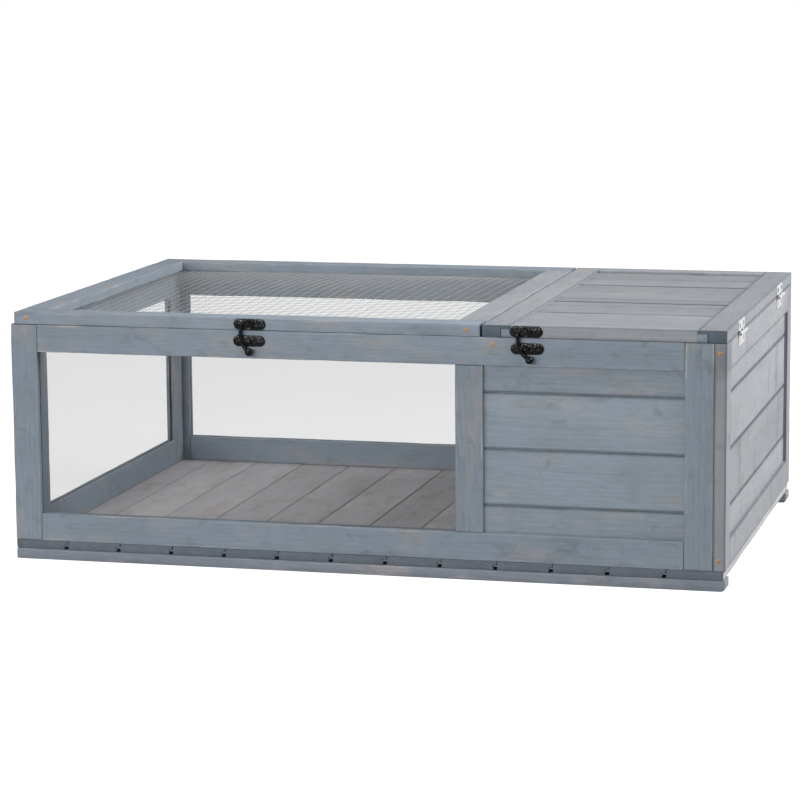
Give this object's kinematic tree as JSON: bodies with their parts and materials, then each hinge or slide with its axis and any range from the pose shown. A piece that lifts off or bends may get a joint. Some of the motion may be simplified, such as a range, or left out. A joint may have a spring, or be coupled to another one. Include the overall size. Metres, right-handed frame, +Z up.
{
  "type": "rabbit hutch",
  "caption": "Low grey-blue timber rabbit hutch: a glazed run under a hinged wire mesh lid beside a boarded sleeping box under a hinged solid lid, with black swing latches.",
  "frame": {"origin": "on the ground under the middle of the timber body, midway between the left and right ends and between front and back", "axes": "+X to the right along the front (the longest side), +Y from front to back, +Z up"},
  "size_m": [0.9059, 0.6078, 0.314],
  "materials": {
    "frame_timber": "matt grey-blue stain",
    "board_timber": "matt grey-blue stain",
    "side_timber": "matt grey stain",
    "lid_timber": "matt grey stain",
    "floor_timber": "matt grey stain",
    "skid_timber": "matt grey-blue stain",
    "clear_acrylic": "clear",
    "zinc_plate": "bright zinc",
    "galvanised_wire": "galvanised",
    "black_enamel": "glossy hammered black"
  },
  "bodies": {
    "hutch": {"back_boards": "board_timber", "back_bottom_rail": "frame_timber", "back_left_stile": "frame_timber", "back_middle_upright": "frame_timber", "back_right_stile": "frame_timber", "back_skid": "skid_timber", "back_top_rail": "frame_timber", "back_window": "clear_acrylic", "floor_boards": "floor_timber", "front_boards": "board_timber", "front_bottom_rail": "frame_timber", "front_left_stile": "frame_timber", "front_middle_upright": "frame_timber", "front_right_stile": "frame_timber", "front_skid": "skid_timber", "front_top_rail": "frame_timber", "front_window": "clear_acrylic", "left_back_post": "frame_timber", "left_bottom_rail": "frame_timber", "left_front_post": "frame_timber", "left_top_rail": "frame_timber", "left_window": "clear_acrylic", "mesh_lid_latch_catch_plate": "black_enamel", "mesh_lid_left_hinge_body_leaf": "zinc_plate", "mesh_lid_left_hinge_pin": "zinc_plate", "mesh_lid_right_hinge_body_leaf": "zinc_plate", "mesh_lid_right_hinge_pin": "zinc_plate", "partition_boards": "board_timber", "partition_door_post": "frame_timber", "partition_front_post": "frame_timber", "partition_top_rail": "frame_timber", "right_back_post": "side_timber", "right_boards": "side_timber", "right_bottom_rail": "side_timber", "right_front_post": "side_timber", "right_top_rail": "side_timber", "solid_lid_back_hinge_body_leaf": "zinc_plate", "solid_lid_back_hinge_pin": "zinc_plate", "solid_lid_front_hinge_body_leaf": "zinc_plate", "solid_lid_front_hinge_pin": "zinc_plate", "solid_lid_latch_catch_plate": "black_enamel"},
    "mesh_lid": {"mesh_lid_back_rail": "lid_timber", "mesh_lid_front_rail": "lid_timber", "mesh_lid_latch_pivot_plate": "black_enamel", "mesh_lid_left_hinge_lid_leaf": "zinc_plate", "mesh_lid_left_stile": "lid_timber", "mesh_lid_right_hinge_lid_leaf": "zinc_plate", "mesh_lid_right_stile": "lid_timber", "mesh_lid_wire_mesh": "galvanised_wire"},
    "solid_lid": {"solid_lid_back_hinge_lid_leaf": "zinc_plate", "solid_lid_back_rail": "lid_timber", "solid_lid_boards": "lid_timber", "solid_lid_front_hinge_lid_leaf": "zinc_plate", "solid_lid_front_rail": "lid_timber", "solid_lid_latch_pivot_plate": "black_enamel", "solid_lid_left_stile": "lid_timber", "solid_lid_right_stile": "lid_timber"},
    "mesh_lid_latch": {"mesh_lid_latch_arm": "black_enamel"},
    "solid_lid_latch": {"solid_lid_latch_arm": "black_enamel"}
  },
  "joints": [
    {"name": "mesh_lid_hinge", "type": "hinge", "parent": "hutch", "child": "mesh_lid", "pos_m": [-0.1465, 0.29795, 0.298], "axis": [-1, 0, 0], "range_deg": [0, 185]},
    {"name": "solid_lid_hinge", "type": "hinge", "parent": "hutch", "child": "solid_lid", "pos_m": [0.45295, 0, 0.298], "axis": [0, 1, 0], "range_deg": [0, 185]},
    {"name": "mesh_lid_latch_pivot", "type": "hinge", "parent": "mesh_lid", "child": "mesh_lid_latch", "pos_m": [-0.137, -0.2989, 0.3065], "axis": [0, 1, 0], "range_deg": [0, 165]},
    {"name": "solid_lid_latch_pivot", "type": "hinge", "parent": "solid_lid", "child": "solid_lid_latch", "pos_m": [0.2086, -0.2989, 0.3065], "axis": [0, 1, 0], "range_deg": [0, 165]}
  ]
}
